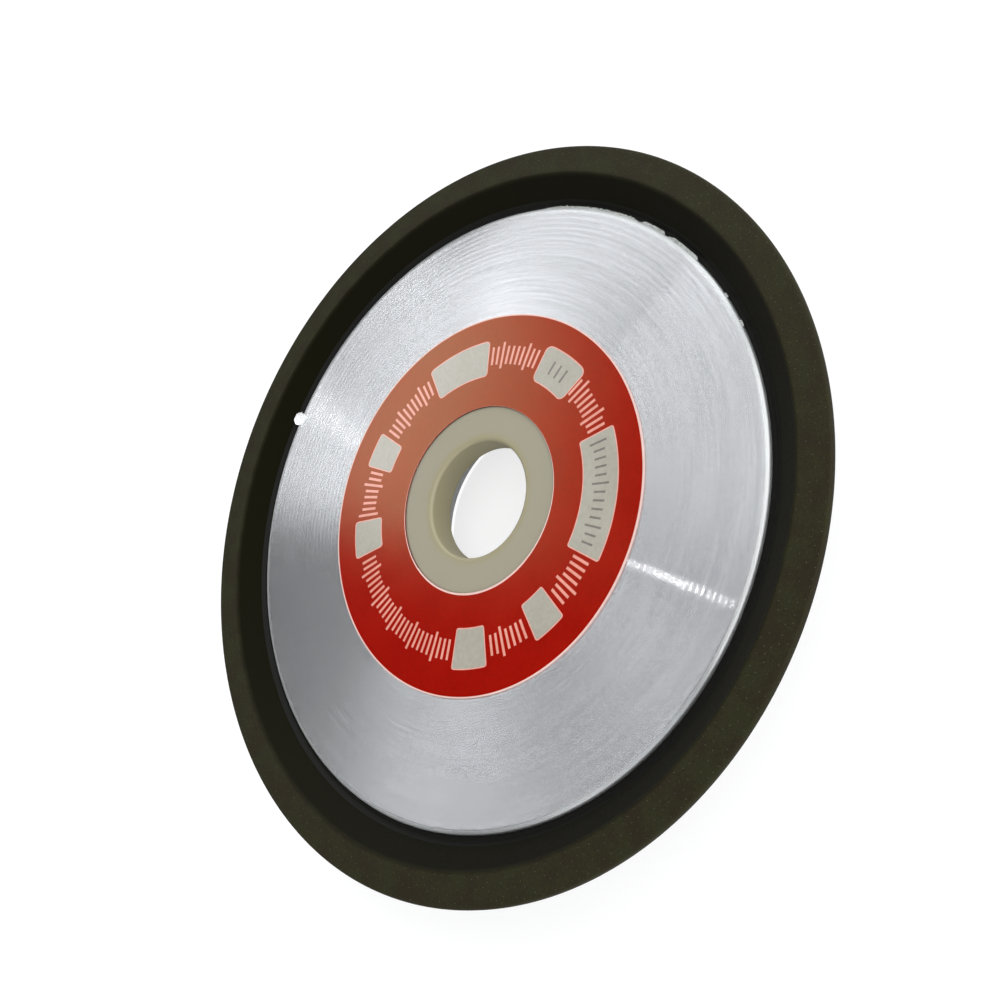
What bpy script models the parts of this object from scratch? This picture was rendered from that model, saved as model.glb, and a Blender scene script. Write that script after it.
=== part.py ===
"""Resin-bond diamond dish grinding wheel, 125 x 16 x 32 mm with a 5 x 3 mm diamond layer.

The wheel is turned about Z and lies on the back of its hub, front up, with the origin at the
centre of the hub's back face. Every piece is a closed section in (radius, height), drawn in
the wheel's own frame and turned a full circle by a Screw modifier.

  core           turned aluminium dish: bore, front face, rebate for the rim, conical back
  backing_ring   black phenolic ring pressed into the core's rebate, under the diamond layer
  diamond_ring   diamond layer of slanted section: a flat land, a sloping inner wall, a thin edge
  reducing_bush  plastic bush that brings the core's bore down to the arbor
  label          thin ring stuck on the front face round the bore
"""

import math

import bpy

MM = 0.001

# The five sizes by which such a wheel is ordered
WHEEL_DIAMETER = 125.0 * MM
WHEEL_THICKNESS = 16.0 * MM  # back of the hub to the top of the rim
BORE_DIAMETER = 32.0 * MM
RIM_WIDTH = 5.0 * MM  # flat land of the diamond layer
RIM_DEPTH = 3.0 * MM  # usable depth of the diamond layer

# Dish section
FACE_DEPTH = 2.8 * MM  # front face below the top of the rim
WALL_ANGLE = math.radians(40.0)  # inner wall of the rim, up from the front face
BACK_ANGLE = math.radians(31.5)  # conical back, up from the plane of the hub
RIM_EDGE = 1.0 * MM  # cylindrical edge between the land and the conical back
GROOVE_WIDTH = 0.7 * MM  # from the edge of the aluminium face to the foot of the wall
BACKING_STEP = 0.3 * MM  # backing left standing between the groove and the diamond layer
SEAT_WIDTH = 2.2 * MM  # shoulder in the core that carries the backing ring

# Reducing bush and label
BUSH_WALL = 5.7 * MM  # leaves a 20 mm hole for the arbor
BUSH_LENGTH = 5.0 * MM
BUSH_RECESS = 0.1 * MM  # front of the bush below the front face
LABEL_BAND = 15.9 * MM  # label, from its inner to its outer edge
LABEL_MARGIN = 0.1 * MM  # label clear of the chamfer of the bore
LABEL_THICKNESS = 0.15 * MM

# Edges
BORE_CHAMFER_FRONT = 0.5 * MM
BORE_CHAMFER_BACK = 1.0 * MM
FACE_ROUND = 0.9 * MM
HUB_ROUND = 1.2 * MM
RIDGE_ROUND = 0.3 * MM
LAND_ROUND = 0.35 * MM
BUSH_CHAMFER_OUTER = 0.35 * MM
BUSH_CHAMFER_ARBOR = 0.6 * MM

# Clearance kept between pieces that touch on the real wheel
JOINT_GAP = 0.3 * MM

# Facets round the axis and in a rounded corner
WHEEL_STEPS = 144
BUSH_STEPS = 96
ROUND_STEPS = 3

SMOOTH_ANGLE = math.radians(25.0)

# Heights and radii that the pieces share
FACE_Z = WHEEL_THICKNESS - FACE_DEPTH
DIAMOND_FOOT_Z = WHEEL_THICKNESS - RIM_DEPTH
BACKING_TOP_Z = DIAMOND_FOOT_Z - JOINT_GAP
GROOVE_Z = BACKING_TOP_Z - BACKING_STEP
RIDGE_RADIUS = WHEEL_DIAMETER / 2 - RIM_WIDTH
BORE_RADIUS = BORE_DIAMETER / 2


def wall_radius(z):
    """Radius of the rim's sloping inner wall at height z."""
    return RIDGE_RADIUS - (WHEEL_THICKNESS - z) / math.tan(WALL_ANGLE)


def back_radius(z):
    """Radius of the conical back at height z."""
    return WHEEL_DIAMETER / 2 - (WHEEL_THICKNESS - RIM_EDGE - z) / math.tan(BACK_ANGLE)


def back_height(radius):
    """Height of the conical back at this radius."""
    drop = (WHEEL_DIAMETER / 2 - radius) * math.tan(BACK_ANGLE)
    return WHEEL_THICKNESS - RIM_EDGE - drop


FACE_RADIUS = wall_radius(GROOVE_Z) - GROOVE_WIDTH
SEAT_Z = back_height(FACE_RADIUS + SEAT_WIDTH)


def chamfered(before, corner, after, size):
    """Two points that cut a corner of a section, each this far from it along its side."""
    cut = []
    for end in (before, after):
        length = math.dist(corner, end)
        cut.append(tuple(c + (e - c) * size / length for c, e in zip(corner, end)))
    return cut


def rounded(before, corner, after, radius):
    """Points of an arc of this radius that replaces a corner of a section."""
    to_before = math.atan2(before[1] - corner[1], before[0] - corner[0])
    to_after = math.atan2(after[1] - corner[1], after[0] - corner[0])
    spread = (to_after - to_before + math.pi) % (2 * math.pi) - math.pi
    half = abs(spread) / 2
    bisector = to_before + spread / 2
    reach = radius / math.sin(half)
    centre = (corner[0] + reach * math.cos(bisector), corner[1] + reach * math.sin(bisector))
    sweep = math.copysign(math.pi - 2 * half, spread)
    points = []
    for i in range(ROUND_STEPS + 1):
        angle = bisector + math.pi + sweep * (0.5 - i / ROUND_STEPS)
        points.append((centre[0] + radius * math.cos(angle), centre[1] + radius * math.sin(angle)))
    return points


def finished_edges(corners, edges):
    """A closed section whose named corners are chamfered or rounded.

    corners is a list of (radius, height). edges maps a corner's index to a function,
    chamfered or rounded, and its size.
    """
    points = []
    for i, corner in enumerate(corners):
        if i not in edges:
            points.append(corner)
            continue
        shape, size = edges[i]
        points += shape(corners[i - 1], corner, corners[(i + 1) % len(corners)], size)
    return points


def principled(name, colour, roughness, metallic):
    """A material of one colour, roughness and metallic value."""
    material = bpy.data.materials.new(name)
    material.use_nodes = True
    shader = material.node_tree.nodes["Principled BSDF"]
    shader.inputs["Base Color"].default_value = (*colour, 1.0)
    shader.inputs["Roughness"].default_value = roughness
    shader.inputs["Metallic"].default_value = metallic
    return material


def turned(name, section, steps, material, collection):
    """An object that turns a closed section, listed clockwise at +X, about the Z axis."""
    count = len(section)
    mesh = bpy.data.meshes.new(name)
    loop = [(i, (i + 1) % count) for i in range(count)]
    mesh.from_pydata([(radius, 0.0, z) for radius, z in section], loop, [])
    mesh.materials.append(material)
    piece = bpy.data.objects.new(name, mesh)
    collection.objects.link(piece)
    screw = piece.modifiers.new("turn", "SCREW")
    screw.axis = "Z"
    screw.angle = 2 * math.pi
    screw.steps = steps
    screw.render_steps = steps
    apply_turn(piece)


def apply_turn(piece):
    """Swap the section for the mesh it turns into, round faces smooth and true edges sharp."""
    section = piece.data
    graph = bpy.context.evaluated_depsgraph_get()
    mesh = bpy.data.meshes.new_from_object(piece.evaluated_get(graph))
    mesh.shade_smooth()
    mesh.set_sharp_from_angle(angle=SMOOTH_ANGLE)
    piece.modifiers.clear()
    piece.data = mesh
    bpy.data.meshes.remove(section)
    mesh.name = piece.name


def core(collection):
    """The turned aluminium dish."""
    corners = [
        (BORE_RADIUS, FACE_Z),
        (FACE_RADIUS, FACE_Z),
        (FACE_RADIUS, SEAT_Z),
        (FACE_RADIUS + SEAT_WIDTH, SEAT_Z),
        (back_radius(0.0), 0.0),
        (BORE_RADIUS, 0.0),
    ]
    edges = {
        0: (chamfered, BORE_CHAMFER_FRONT),
        1: (rounded, FACE_ROUND),
        4: (rounded, HUB_ROUND),
        5: (chamfered, BORE_CHAMFER_BACK),
    }
    aluminium = principled("turned_aluminium", (0.79, 0.80, 0.82), 0.32, 1.0)
    turned("core", finished_edges(corners, edges), WHEEL_STEPS, aluminium, collection)


def backing_ring(collection):
    """The phenolic ring in the core's rebate, whose top leaves a groove beside the face."""
    inner = FACE_RADIUS + JOINT_GAP
    foot = SEAT_Z + JOINT_GAP
    corners = [
        (inner, GROOVE_Z),
        (wall_radius(GROOVE_Z), GROOVE_Z),
        (wall_radius(BACKING_TOP_Z), BACKING_TOP_Z),
        (back_radius(BACKING_TOP_Z), BACKING_TOP_Z),
        (back_radius(foot), foot),
        (inner, foot),
    ]
    phenolic = principled("black_phenolic", (0.008, 0.008, 0.007), 0.5, 0.0)
    turned("backing_ring", corners, WHEEL_STEPS, phenolic, collection)


def diamond_ring(collection):
    """The diamond layer: flat land, sloping inner wall, thin edge and slanted underside."""
    corners = [
        (RIDGE_RADIUS, WHEEL_THICKNESS),
        (WHEEL_DIAMETER / 2, WHEEL_THICKNESS),
        (WHEEL_DIAMETER / 2, WHEEL_THICKNESS - RIM_EDGE),
        (back_radius(DIAMOND_FOOT_Z), DIAMOND_FOOT_Z),
        (wall_radius(DIAMOND_FOOT_Z), DIAMOND_FOOT_Z),
    ]
    edges = {0: (rounded, RIDGE_ROUND), 1: (rounded, LAND_ROUND)}
    resin = principled("diamond_resin", (0.028, 0.026, 0.014), 0.62, 0.0)
    turned("diamond_ring", finished_edges(corners, edges), WHEEL_STEPS, resin, collection)


def reducing_bush(collection):
    """The plastic bush, pressed into the bore with its front just below the face."""
    outer = BORE_RADIUS - JOINT_GAP
    inner = outer - BUSH_WALL
    front = FACE_Z - BUSH_RECESS
    back = front - BUSH_LENGTH
    corners = [(inner, front), (outer, front), (outer, back), (inner, back)]
    edges = {
        0: (chamfered, BUSH_CHAMFER_ARBOR),
        1: (chamfered, BUSH_CHAMFER_OUTER),
        2: (chamfered, BUSH_CHAMFER_OUTER),
        3: (chamfered, BUSH_CHAMFER_ARBOR),
    }
    nylon = principled("cream_nylon", (0.48, 0.46, 0.37), 0.45, 0.0)
    turned("reducing_bush", finished_edges(corners, edges), BUSH_STEPS, nylon, collection)


def label(collection):
    """The flat label ring on the front face."""
    inner = BORE_RADIUS + BORE_CHAMFER_FRONT + LABEL_MARGIN
    outer = inner + LABEL_BAND
    underside = FACE_Z + JOINT_GAP
    top = underside + LABEL_THICKNESS
    section = [(inner, top), (outer, top), (outer, underside), (inner, underside)]
    print_red = principled("red_printed_film", (0.56, 0.035, 0.012), 0.4, 0.0)
    turned("label", section, BUSH_STEPS, print_red, collection)


def clear_scene():
    """Remove whatever objects the scene opens with."""
    for thing in list(bpy.data.objects):
        bpy.data.objects.remove(thing, do_unlink=True)


def main():
    """Build every piece of the wheel in its own collection."""
    clear_scene()
    collection = bpy.data.collections.new("diamond_dish_wheel")
    bpy.context.scene.collection.children.link(collection)
    core(collection)
    backing_ring(collection)
    diamond_ring(collection)
    reducing_bush(collection)
    label(collection)


main()
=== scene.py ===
"""Looks of a resin-bond diamond dish grinding wheel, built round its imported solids.

The wheel lies front up on the back of its hub, with its axis on Z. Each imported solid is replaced
by a finer turned body that carries the grooves, grain and print of the real wheel. Sizes are in
millimetres until a mesh is made, and directions round the axis are in degrees from +X.
"""

import logging
import math
import random
from collections.abc import Sequence
from dataclasses import dataclass
from enum import Enum

import bpy
from mathutils import Matrix, Vector


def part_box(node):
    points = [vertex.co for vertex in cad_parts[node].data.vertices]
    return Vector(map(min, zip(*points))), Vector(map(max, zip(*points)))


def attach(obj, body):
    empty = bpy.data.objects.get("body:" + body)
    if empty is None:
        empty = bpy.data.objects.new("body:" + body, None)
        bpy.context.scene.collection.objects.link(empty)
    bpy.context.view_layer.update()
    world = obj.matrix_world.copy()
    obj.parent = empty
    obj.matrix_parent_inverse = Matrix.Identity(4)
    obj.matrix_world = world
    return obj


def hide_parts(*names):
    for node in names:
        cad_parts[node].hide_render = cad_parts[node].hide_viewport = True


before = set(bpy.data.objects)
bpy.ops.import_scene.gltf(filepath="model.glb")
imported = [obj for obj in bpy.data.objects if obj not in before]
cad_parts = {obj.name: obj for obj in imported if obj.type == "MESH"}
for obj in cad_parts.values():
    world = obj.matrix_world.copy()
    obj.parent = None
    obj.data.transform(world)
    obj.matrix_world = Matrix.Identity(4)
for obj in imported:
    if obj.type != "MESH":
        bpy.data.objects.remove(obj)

MM = 0.001
BODY = "root"
WELD = 0.0005 * MM  # points closer than this are one

Point = tuple[float, float]
Place = tuple[float, float, float]
Colour = tuple[float, float, float, float]
Tree = bpy.types.NodeTree
Node = bpy.types.Node
Socket = bpy.types.NodeSocket
Material = bpy.types.Material
Piece = bpy.types.Object

# Blender's names for the kinds of node that are added often
VECTOR_MATH = "ShaderNodeVectorMath"
NOISE = "ShaderNodeTexNoise"
RAMP = "ShaderNodeMapRange"
BLEND = "ShaderNodeMix"
JOIN_XYZ = "ShaderNodeCombineXYZ"
SPLIT_XYZ = "ShaderNodeSeparateXYZ"
POSITION = "GeometryNodeInputPosition"
MOVE = "GeometryNodeSetPosition"

EASED = {"interpolation_type": "SMOOTHSTEP"}  # eases a ramp in and out
SPREAD = (0.35, 0.65)  # most values of a noise lie between these

log = logging.getLogger("dish_wheel")


# Colour and node helpers


def srgb(code: str) -> Colour:
    """Turn an sRGB hex colour into linear values.

    Args:
        code: Six hex digits.

    Returns:
        Linear red, green and blue, with an alpha of 1.
    """
    shares = [int(code[i : i + 2], 16) / 255 for i in (0, 2, 4)]
    linear = [s / 12.92 if s <= 0.04045 else ((s + 0.055) / 1.055) ** 2.4 for s in shares]
    return (linear[0], linear[1], linear[2], 1.0)


def out(node: Node, name: str | None = None) -> Socket:
    """The node's output of this name, or its first one, among those in use."""
    return next(s for s in node.outputs if s.enabled and name in (None, s.name))


def feed(tree: Tree, node: Node, feeds: dict | Sequence) -> Node:
    """Link or set a node's inputs.

    Args:
        tree: The node's tree.
        node: The node.
        feeds: What its inputs take, in their order or by name or index: a socket, a node whose
            first output is meant, or a value.

    Returns:
        The same node.
    """
    takes = feeds if isinstance(feeds, dict) else dict(enumerate(feeds))
    for key, value in takes.items():
        named = (s for s in node.inputs if s.name == key and s.enabled)
        socket = node.inputs[key] if isinstance(key, int) else next(named)
        if isinstance(value, Node):
            value = out(value)
        if isinstance(value, Socket):
            tree.links.new(value, socket)
        else:
            socket.default_value = value
    return node


def add(tree: Tree, kind: str, feeds: dict | Sequence = (), **settings: object) -> Node:
    """Add a node with its settings and links.

    Args:
        tree: The tree that gets the node.
        kind: Blender's name for the kind of node.
        feeds: What its inputs take, as in feed.
        settings: The node's own properties.

    Returns:
        The new node.
    """
    node = tree.nodes.new(kind)
    for key, value in settings.items():
        setattr(node, key, value)
    return feed(tree, node, feeds)


def sums(tree: Tree, value: object, *steps: tuple) -> Node:
    """Run a value through sums, one after the other.

    Args:
        tree: The tree that gets the nodes.
        value: What the first sum starts from.
        steps: Each sum's operation, and what it takes after the running value.

    Returns:
        The last sum's node.
    """
    for operation, *others in steps:
        value = add(tree, "ShaderNodeMath", (value, *others), operation=operation)
    return value


def about_axis(tree: Tree, radius: object, angle: object, height: object) -> Node:
    """Find the place at a radius and an angle round Z.

    Args:
        tree: The tree that gets the nodes.
        radius: The distance from the axis.
        angle: The angle from +X.
        height: The height.

    Returns:
        The node that holds the place.
    """
    x = sums(tree, angle, ("COSINE",), ("MULTIPLY", radius))
    y = sums(tree, angle, ("SINE",), ("MULTIPLY", radius))
    return add(tree, JOIN_XYZ, (x, y, height))


# Sections and turned bodies


@dataclass(frozen=True)
class Corner:
    """A corner of a turned section, in millimetres."""

    radius: float
    height: float
    round: float = 0.0  # radius of the arc that replaces the corner
    spacing: float = 1.0  # longest step along the side that follows


@dataclass(frozen=True)
class Section:
    """A closed section that is turned about Z, listed clockwise at +X."""

    corners: tuple[Corner, ...]
    arc_steps: int = 6

    def points(self) -> list[Point]:
        """Walk the section.

        Returns:
            Its points as (radius, height), with its corners rounded and long sides split.
        """
        found: list[Point] = []
        count = len(self.corners)
        bends = [self._bend(i) for i in range(count)]
        for i, corner in enumerate(self.corners):
            found += bends[i]
            start, end = bends[i][-1], bends[(i + 1) % count][0]
            parts = max(1, math.ceil(math.dist(start, end) / corner.spacing))
            for k in range(1, parts):
                found.append(tuple(a + (b - a) * k / parts for a, b in zip(start, end)))
        return found

    def _bend(self, index: int) -> list[Point]:
        """Round one corner.

        Args:
            index: Which corner.

        Returns:
            The points of its arc, or the corner alone where it has no rounding.
        """
        corner = self.corners[index]
        if not corner.round:
            return [(corner.radius, corner.height)]
        here = Vector((corner.radius, corner.height))
        ends = (self.corners[index - 1], self.corners[(index + 1) % len(self.corners)])
        one, two = ((Vector((end.radius, end.height)) - here).normalized() for end in ends)
        half = one.angle(two) / 2
        middle = here + (one + two).normalized() * corner.round / math.sin(half)
        first = here + one * corner.round / math.tan(half) - middle
        turn = first.angle_signed(here + two * corner.round / math.tan(half) - middle)
        turns = [Matrix.Rotation(-turn * k / self.arc_steps, 2) for k in range(self.arc_steps + 1)]
        return [tuple(middle + turned @ first) for turned in turns]


def new_tree(name: str, values: Sequence[str], counts: Sequence[str] = ()) -> tuple[Tree, dict[str, Socket]]:
    """Start a tree of geometry nodes with named inputs.

    Args:
        name: The tree's name.
        values: The names of its inputs for sizes and angles.
        counts: The names of its inputs for whole numbers.

    Returns:
        The tree, and the sockets that its inputs come out of, Geometry and Finish among them.
    """
    tree = bpy.data.node_groups.new(name, "GeometryNodeTree")
    kinds = {"Geometry": "NodeSocketGeometry", "Finish": "NodeSocketMaterial"}
    kinds |= dict.fromkeys(values, "NodeSocketFloat") | dict.fromkeys(counts, "NodeSocketInt")
    tree.interface.new_socket("Geometry", in_out="OUTPUT", socket_type="NodeSocketGeometry")
    for key, kind in kinds.items():
        tree.interface.new_socket(key, in_out="INPUT", socket_type=kind)
    given = tree.nodes.new("NodeGroupInput")
    return tree, {key: given.outputs[key] for key in kinds}


def finish_tree(tree: Tree, shape: Node, finish: Socket) -> Tree:
    """End a tree in real geometry that wears its finish.

    Args:
        tree: The tree.
        shape: The geometry so far.
        finish: The material.

    Returns:
        The same tree.
    """
    real = add(tree, "GeometryNodeRealizeInstances", (shape,))
    worn = add(tree, "GeometryNodeSetMaterial", {"Geometry": real, "Material": finish})
    add(tree, "NodeGroupOutput", {"Geometry": worn})
    return tree


def turning_tree() -> Tree:
    """Build the tree that turns a section into a body, with a grain on its surface.

    Returns:
        A tree whose geometry input is the section's points at (radius, 0, height).
    """
    tree, given = new_tree("turned_body", ("Crease", "Grain size", "Grain depth", "Grain seed"), ("Steps",))
    section = given["Geometry"]
    count = out(add(tree, "GeometryNodeAttributeDomainSize", (section,)), "Point Count")
    across = sums(tree, count, ("ADD", 1))
    along = sums(tree, given["Steps"], ("ADD", 1))
    grid = add(tree, "GeometryNodeMeshGrid", (1.0, 1.0, across, along))
    place = add(tree, POSITION)
    share = add(tree, SPLIT_XYZ, (place,)).outputs
    index = sums(tree, share["X"], ("ADD", 0.5), ("MULTIPLY", count), ("ROUND",), ("MODULO", count))
    angle = sums(tree, share["Y"], ("ADD", 0.5), ("MULTIPLY", 2 * math.pi))
    feeds = {"Geometry": section, "Value": place, "Index": index}
    sample = add(tree, "GeometryNodeSampleIndex", feeds, data_type="FLOAT_VECTOR")
    at = add(tree, SPLIT_XYZ, (sample,)).outputs
    turned = add(tree, MOVE, {"Geometry": grid, "Position": about_axis(tree, at["X"], angle, at["Z"])})
    closed = add(tree, "GeometryNodeMergeByDistance", {"Geometry": turned, "Distance": WELD})
    scale = sums(tree, 1.0, ("DIVIDE", given["Grain size"]))
    feeds = {"W": given["Grain seed"], "Scale": scale, "Detail": 2.0}
    grain = add(tree, NOISE, feeds, noise_dimensions="4D")
    highest = 0.9  # the noise stays below this, so that the grain only dips into the body
    relief = sums(tree, grain, ("SUBTRACT", highest), ("MULTIPLY", given["Grain depth"]))
    normal = add(tree, "GeometryNodeInputNormal")
    push = add(tree, VECTOR_MATH, {0: normal, "Scale": relief}, operation="SCALE")
    grained = add(tree, MOVE, {"Geometry": closed, "Offset": push})
    smooth = add(tree, "GeometryNodeSetShadeSmooth", {"Geometry": grained})
    bend = out(add(tree, "GeometryNodeInputMeshEdgeAngle"), "Unsigned Angle")
    soft = add(tree, "FunctionNodeCompare", {"A": bend, "B": given["Crease"]}, operation="LESS_THAN")
    feeds = {"Geometry": smooth, "Shade Smooth": soft}
    return finish_tree(tree, add(tree, "GeometryNodeSetShadeSmooth", feeds, domain="EDGE"), given["Finish"])


def stood(name: str, data: bpy.types.ID) -> Piece:
    """Put a new object in the scene.

    Args:
        name: Its name.
        data: Its mesh, lamp or camera.

    Returns:
        The object.
    """
    piece = bpy.data.objects.new(name, data)
    bpy.context.scene.collection.objects.link(piece)
    return piece


def grown(name: str, tree: Tree, finish: Material, values: dict, points: Sequence[Place] = ()) -> Piece:
    """Run a tree of geometry nodes and keep the result as a plain mesh.

    Args:
        name: The new piece's name.
        tree: The tree.
        finish: The material that the piece wears.
        values: What the tree's other inputs take, by name.
        points: The points that the tree starts from.

    Returns:
        The piece, with no modifier left on it.
    """
    base = bpy.data.meshes.new(name)
    if points:
        base.from_pydata(points, [], [])
    piece = stood(name, base)
    modifier = piece.modifiers.new("nodes", "NODES")
    modifier.node_group = tree
    items = [s for s in tree.interface.items_tree if s.item_type == "SOCKET" and s.in_out == "INPUT"]
    sockets = {s.name: s.identifier for s in items}
    for key, value in (values | {"Finish": finish}).items():
        modifier[sockets[key]] = value
    bpy.context.view_layer.update()
    graph = bpy.context.evaluated_depsgraph_get()
    made = bpy.data.meshes.new_from_object(piece.evaluated_get(graph), depsgraph=graph)
    piece.modifiers.clear()
    piece.data = made
    bpy.data.meshes.remove(base)
    made.name = name
    return piece


def joined(name: str, parts: Sequence[Piece]) -> Piece:
    """Join pieces into one.

    Args:
        name: The whole's name.
        parts: The pieces, of which the first one stays.

    Returns:
        The whole.
    """
    whole = parts[0]
    with bpy.context.temp_override(active_object=whole, selected_editable_objects=list(parts)):
        bpy.ops.object.join()
    whole.name = whole.data.name = name
    return whole


@dataclass(frozen=True)
class Grain:
    """The unevenness of a turned body's surface, in millimetres."""

    size: float = 1.0
    depth: float = 0.0


@dataclass(frozen=True)
class Lathe:
    """Turns sections into bodies with one shared tree."""

    tree: Tree
    seed: float = 3.0

    def turn(
        self,
        name: str,
        section: Sequence[Point],
        finish: Material,
        steps: int,
        grain: Grain = Grain(),
        crease: float = 24.0,
    ) -> Piece:
        """Turn one section.

        Args:
            name: The piece's name.
            section: The closed section as (radius, height) in millimetres.
            finish: The material that it wears.
            steps: Facets round the axis.
            grain: The grain of its surface.
            crease: Bend in degrees from which an edge stays sharp.

        Returns:
            The turned piece.
        """
        values = {
            "Steps": steps,
            "Crease": math.radians(crease),
            "Grain size": grain.size * MM,
            "Grain depth": grain.depth * MM,
            "Grain seed": self.seed,
        }
        return grown(name, self.tree, finish, values, [(r * MM, 0.0, z * MM) for r, z in section])


# Finishes


@dataclass(frozen=True)
class TurnedPlace:
    """Where a point lies on a turned surface, in millimetres, as parts of a material's tree."""

    place: Node
    radius: Socket
    outward: Node  # the direction away from the axis
    height: Socket

    @classmethod
    def read(cls, tree: Tree) -> "TurnedPlace":
        """Read a point's place from Object coordinates.

        Args:
            tree: The material's tree.

        Returns:
            Its place.
        """
        spot = add(tree, "ShaderNodeTexCoord").outputs["Object"]
        place = add(tree, VECTOR_MATH, {0: spot, "Scale": 1 / MM}, operation="SCALE")
        split = add(tree, SPLIT_XYZ, (place,)).outputs
        flat = add(tree, JOIN_XYZ, (split["X"], split["Y"], 0.0))
        radius = add(tree, VECTOR_MATH, (flat,), operation="LENGTH")
        outward = add(tree, VECTOR_MATH, (flat,), operation="NORMALIZE")
        return cls(place, out(radius, "Value"), outward, split["Z"])


def two_tone(tree: Tree, noise: Node, spread: Point, low: object, high: object) -> Node:
    """Let one colour give way to another as a noise rises.

    Args:
        tree: The material's tree.
        noise: The noise.
        spread: The noise's values at which the change begins and ends.
        low: The colour below them.
        high: The colour above them.

    Returns:
        The node that holds the colour.
    """
    share = add(tree, RAMP, (noise, *spread), **EASED)
    return add(tree, BLEND, {"Factor": share, "A": low, "B": high}, data_type="RGBA")


def drifting(tree: Tree, noise: Node, middle: float, swing: float) -> Node:
    """Let a value drift with a noise, by at most half the swing from its middle."""
    return sums(tree, noise, ("MULTIPLY", swing), ("ADD", middle - swing / 2))


@dataclass(frozen=True)
class Finish:
    """A finish of one of the wheel's materials, by how its surface was made."""

    name: str

    def material(self) -> Material:
        """Build the material.

        Returns:
            The material, one Principled shader with its patterns on Object coordinates.
        """
        material = bpy.data.materials.new(self.name)
        material.use_nodes = True
        tree = material.node_tree
        feed(tree, tree.nodes["Principled BSDF"], self.sockets(tree, TurnedPlace.read(tree)))
        return material

    def sockets(self, tree: Tree, at: TurnedPlace) -> dict[str, object]:
        """Find what the shader's inputs take.

        Args:
            tree: The material's tree.
            at: The place on the wheel.

        Returns:
            Each input's name, and the node or value that it takes.
        """
        raise NotImplementedError


@dataclass(frozen=True)
class TurnedAluminium(Finish):
    """Cast aluminium faced on a lathe: a bright metal whose fine grooves draw light out radially."""

    name: str = "turned_aluminium"
    bright: str = "EAEBED"
    dull: str = "E4E5E7"
    # the edge's colour, darker than the face: painted shade that holds down the highlight on the edge
    edge: str = "DBDDDD"
    roughness: float = 0.07
    anisotropy: float = 1.0
    flank_pitch: float = 0.02  # tool marks far finer than a pixel, which only spread the light
    flank_lean: float = 0.33  # how far their flanks lean at most, as a slope
    flat_share: float = 0.19  # what lies between the marks, and mirrors a small lamp sharply
    groove_pitch: float = 0.16  # the coarser marks among them, which show as grain
    groove_slope: float = 0.01647  # their lean where the noise is at its highest
    groove_turns: float = 9.0  # how often a groove changes round the axis
    ring_pitch: float = 0.5  # rings of slightly different tone
    ring_turns: float = 2.5
    front: Point = (11.0, 12.0)  # heights between which the side gives way to the front
    edge_start: Point = (51.4, 52.0)  # radii between which the cut face gives way to its dull edge
    edge_roughness: float = 0.31

    def sockets(self, tree: Tree, at: TurnedPlace) -> dict[str, object]:
        """Let the normals lean across the cut, in two sets, flat and flanks.

        Light then spreads along the radius and stays narrow round the axis.

        Args:
            tree: The material's tree.
            at: The place on the wheel.

        Returns:
            Each input's name, and the node or value that it takes.
        """
        normal = out(add(tree, "ShaderNodeNewGeometry"), "Normal")
        cross = add(tree, VECTOR_MATH, ((0.0, 0.0, 1.0), at.outward), operation="CROSS_PRODUCT")
        tangent = add(tree, VECTOR_MATH, (cross, normal), operation="CROSS_PRODUCT")
        run = sums(tree, at.radius, ("ADD", at.height), ("DIVIDE", self.groove_pitch))
        along = add(tree, VECTOR_MATH, {0: at.outward, "Scale": self.groove_turns}, operation="SCALE")
        feeds = {"Vector": along, "W": run, "Scale": 1.0, "Detail": 1.0}
        grooves = add(tree, NOISE, feeds, noise_dimensions="4D")
        coarse = sums(tree, grooves, ("SUBTRACT", 0.5), ("MULTIPLY", self.groove_slope))
        close = add(tree, VECTOR_MATH, {0: at.place, "Scale": 1 / self.flank_pitch}, operation="SCALE")
        marks = add(tree, "ShaderNodeTexWhiteNoise", (close,), noise_dimensions="3D")
        marked = sums(tree, marks, ("GREATER_THAN", self.flat_share))
        slope = add(tree, RAMP, (marks, self.flat_share, 1.0, -self.flank_lean, self.flank_lean))
        lean = sums(tree, slope, ("MULTIPLY", marked), ("ADD", coarse))
        flank = add(tree, VECTOR_MATH, {0: tangent, "Scale": lean}, operation="SCALE")
        leant = add(tree, VECTOR_MATH, (normal, flank), operation="ADD")
        drift = add(tree, VECTOR_MATH, {0: at.outward, "Scale": self.ring_turns}, operation="SCALE")
        ring = sums(tree, at.radius, ("DIVIDE", self.ring_pitch))
        feeds = {"Vector": drift, "W": ring, "Scale": 1.0, "Detail": 2.0}
        rings = add(tree, NOISE, feeds, noise_dimensions="4D")
        face = two_tone(tree, rings, SPREAD, srgb(self.dull), srgb(self.bright))
        front = add(tree, RAMP, (at.height, *self.front), **EASED)
        # towards the edge the metal turns rougher, and darker in colour as painted shade
        rim = add(tree, RAMP, (at.radius, *self.edge_start), **EASED)
        worn = sums(tree, rim, ("MULTIPLY", front))
        colour = {"Factor": worn, "A": face, "B": srgb(self.edge)}
        return {
            "Base Color": add(tree, BLEND, colour, data_type="RGBA"),
            "Roughness": add(tree, RAMP, (worn, 0.0, 1.0, self.roughness, self.edge_roughness)),
            "Normal": add(tree, VECTOR_MATH, (leant,), operation="NORMALIZE"),
            "Tangent": tangent,
            "Metallic": 1.0,
            "Anisotropic": self.anisotropy,
        }


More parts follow.
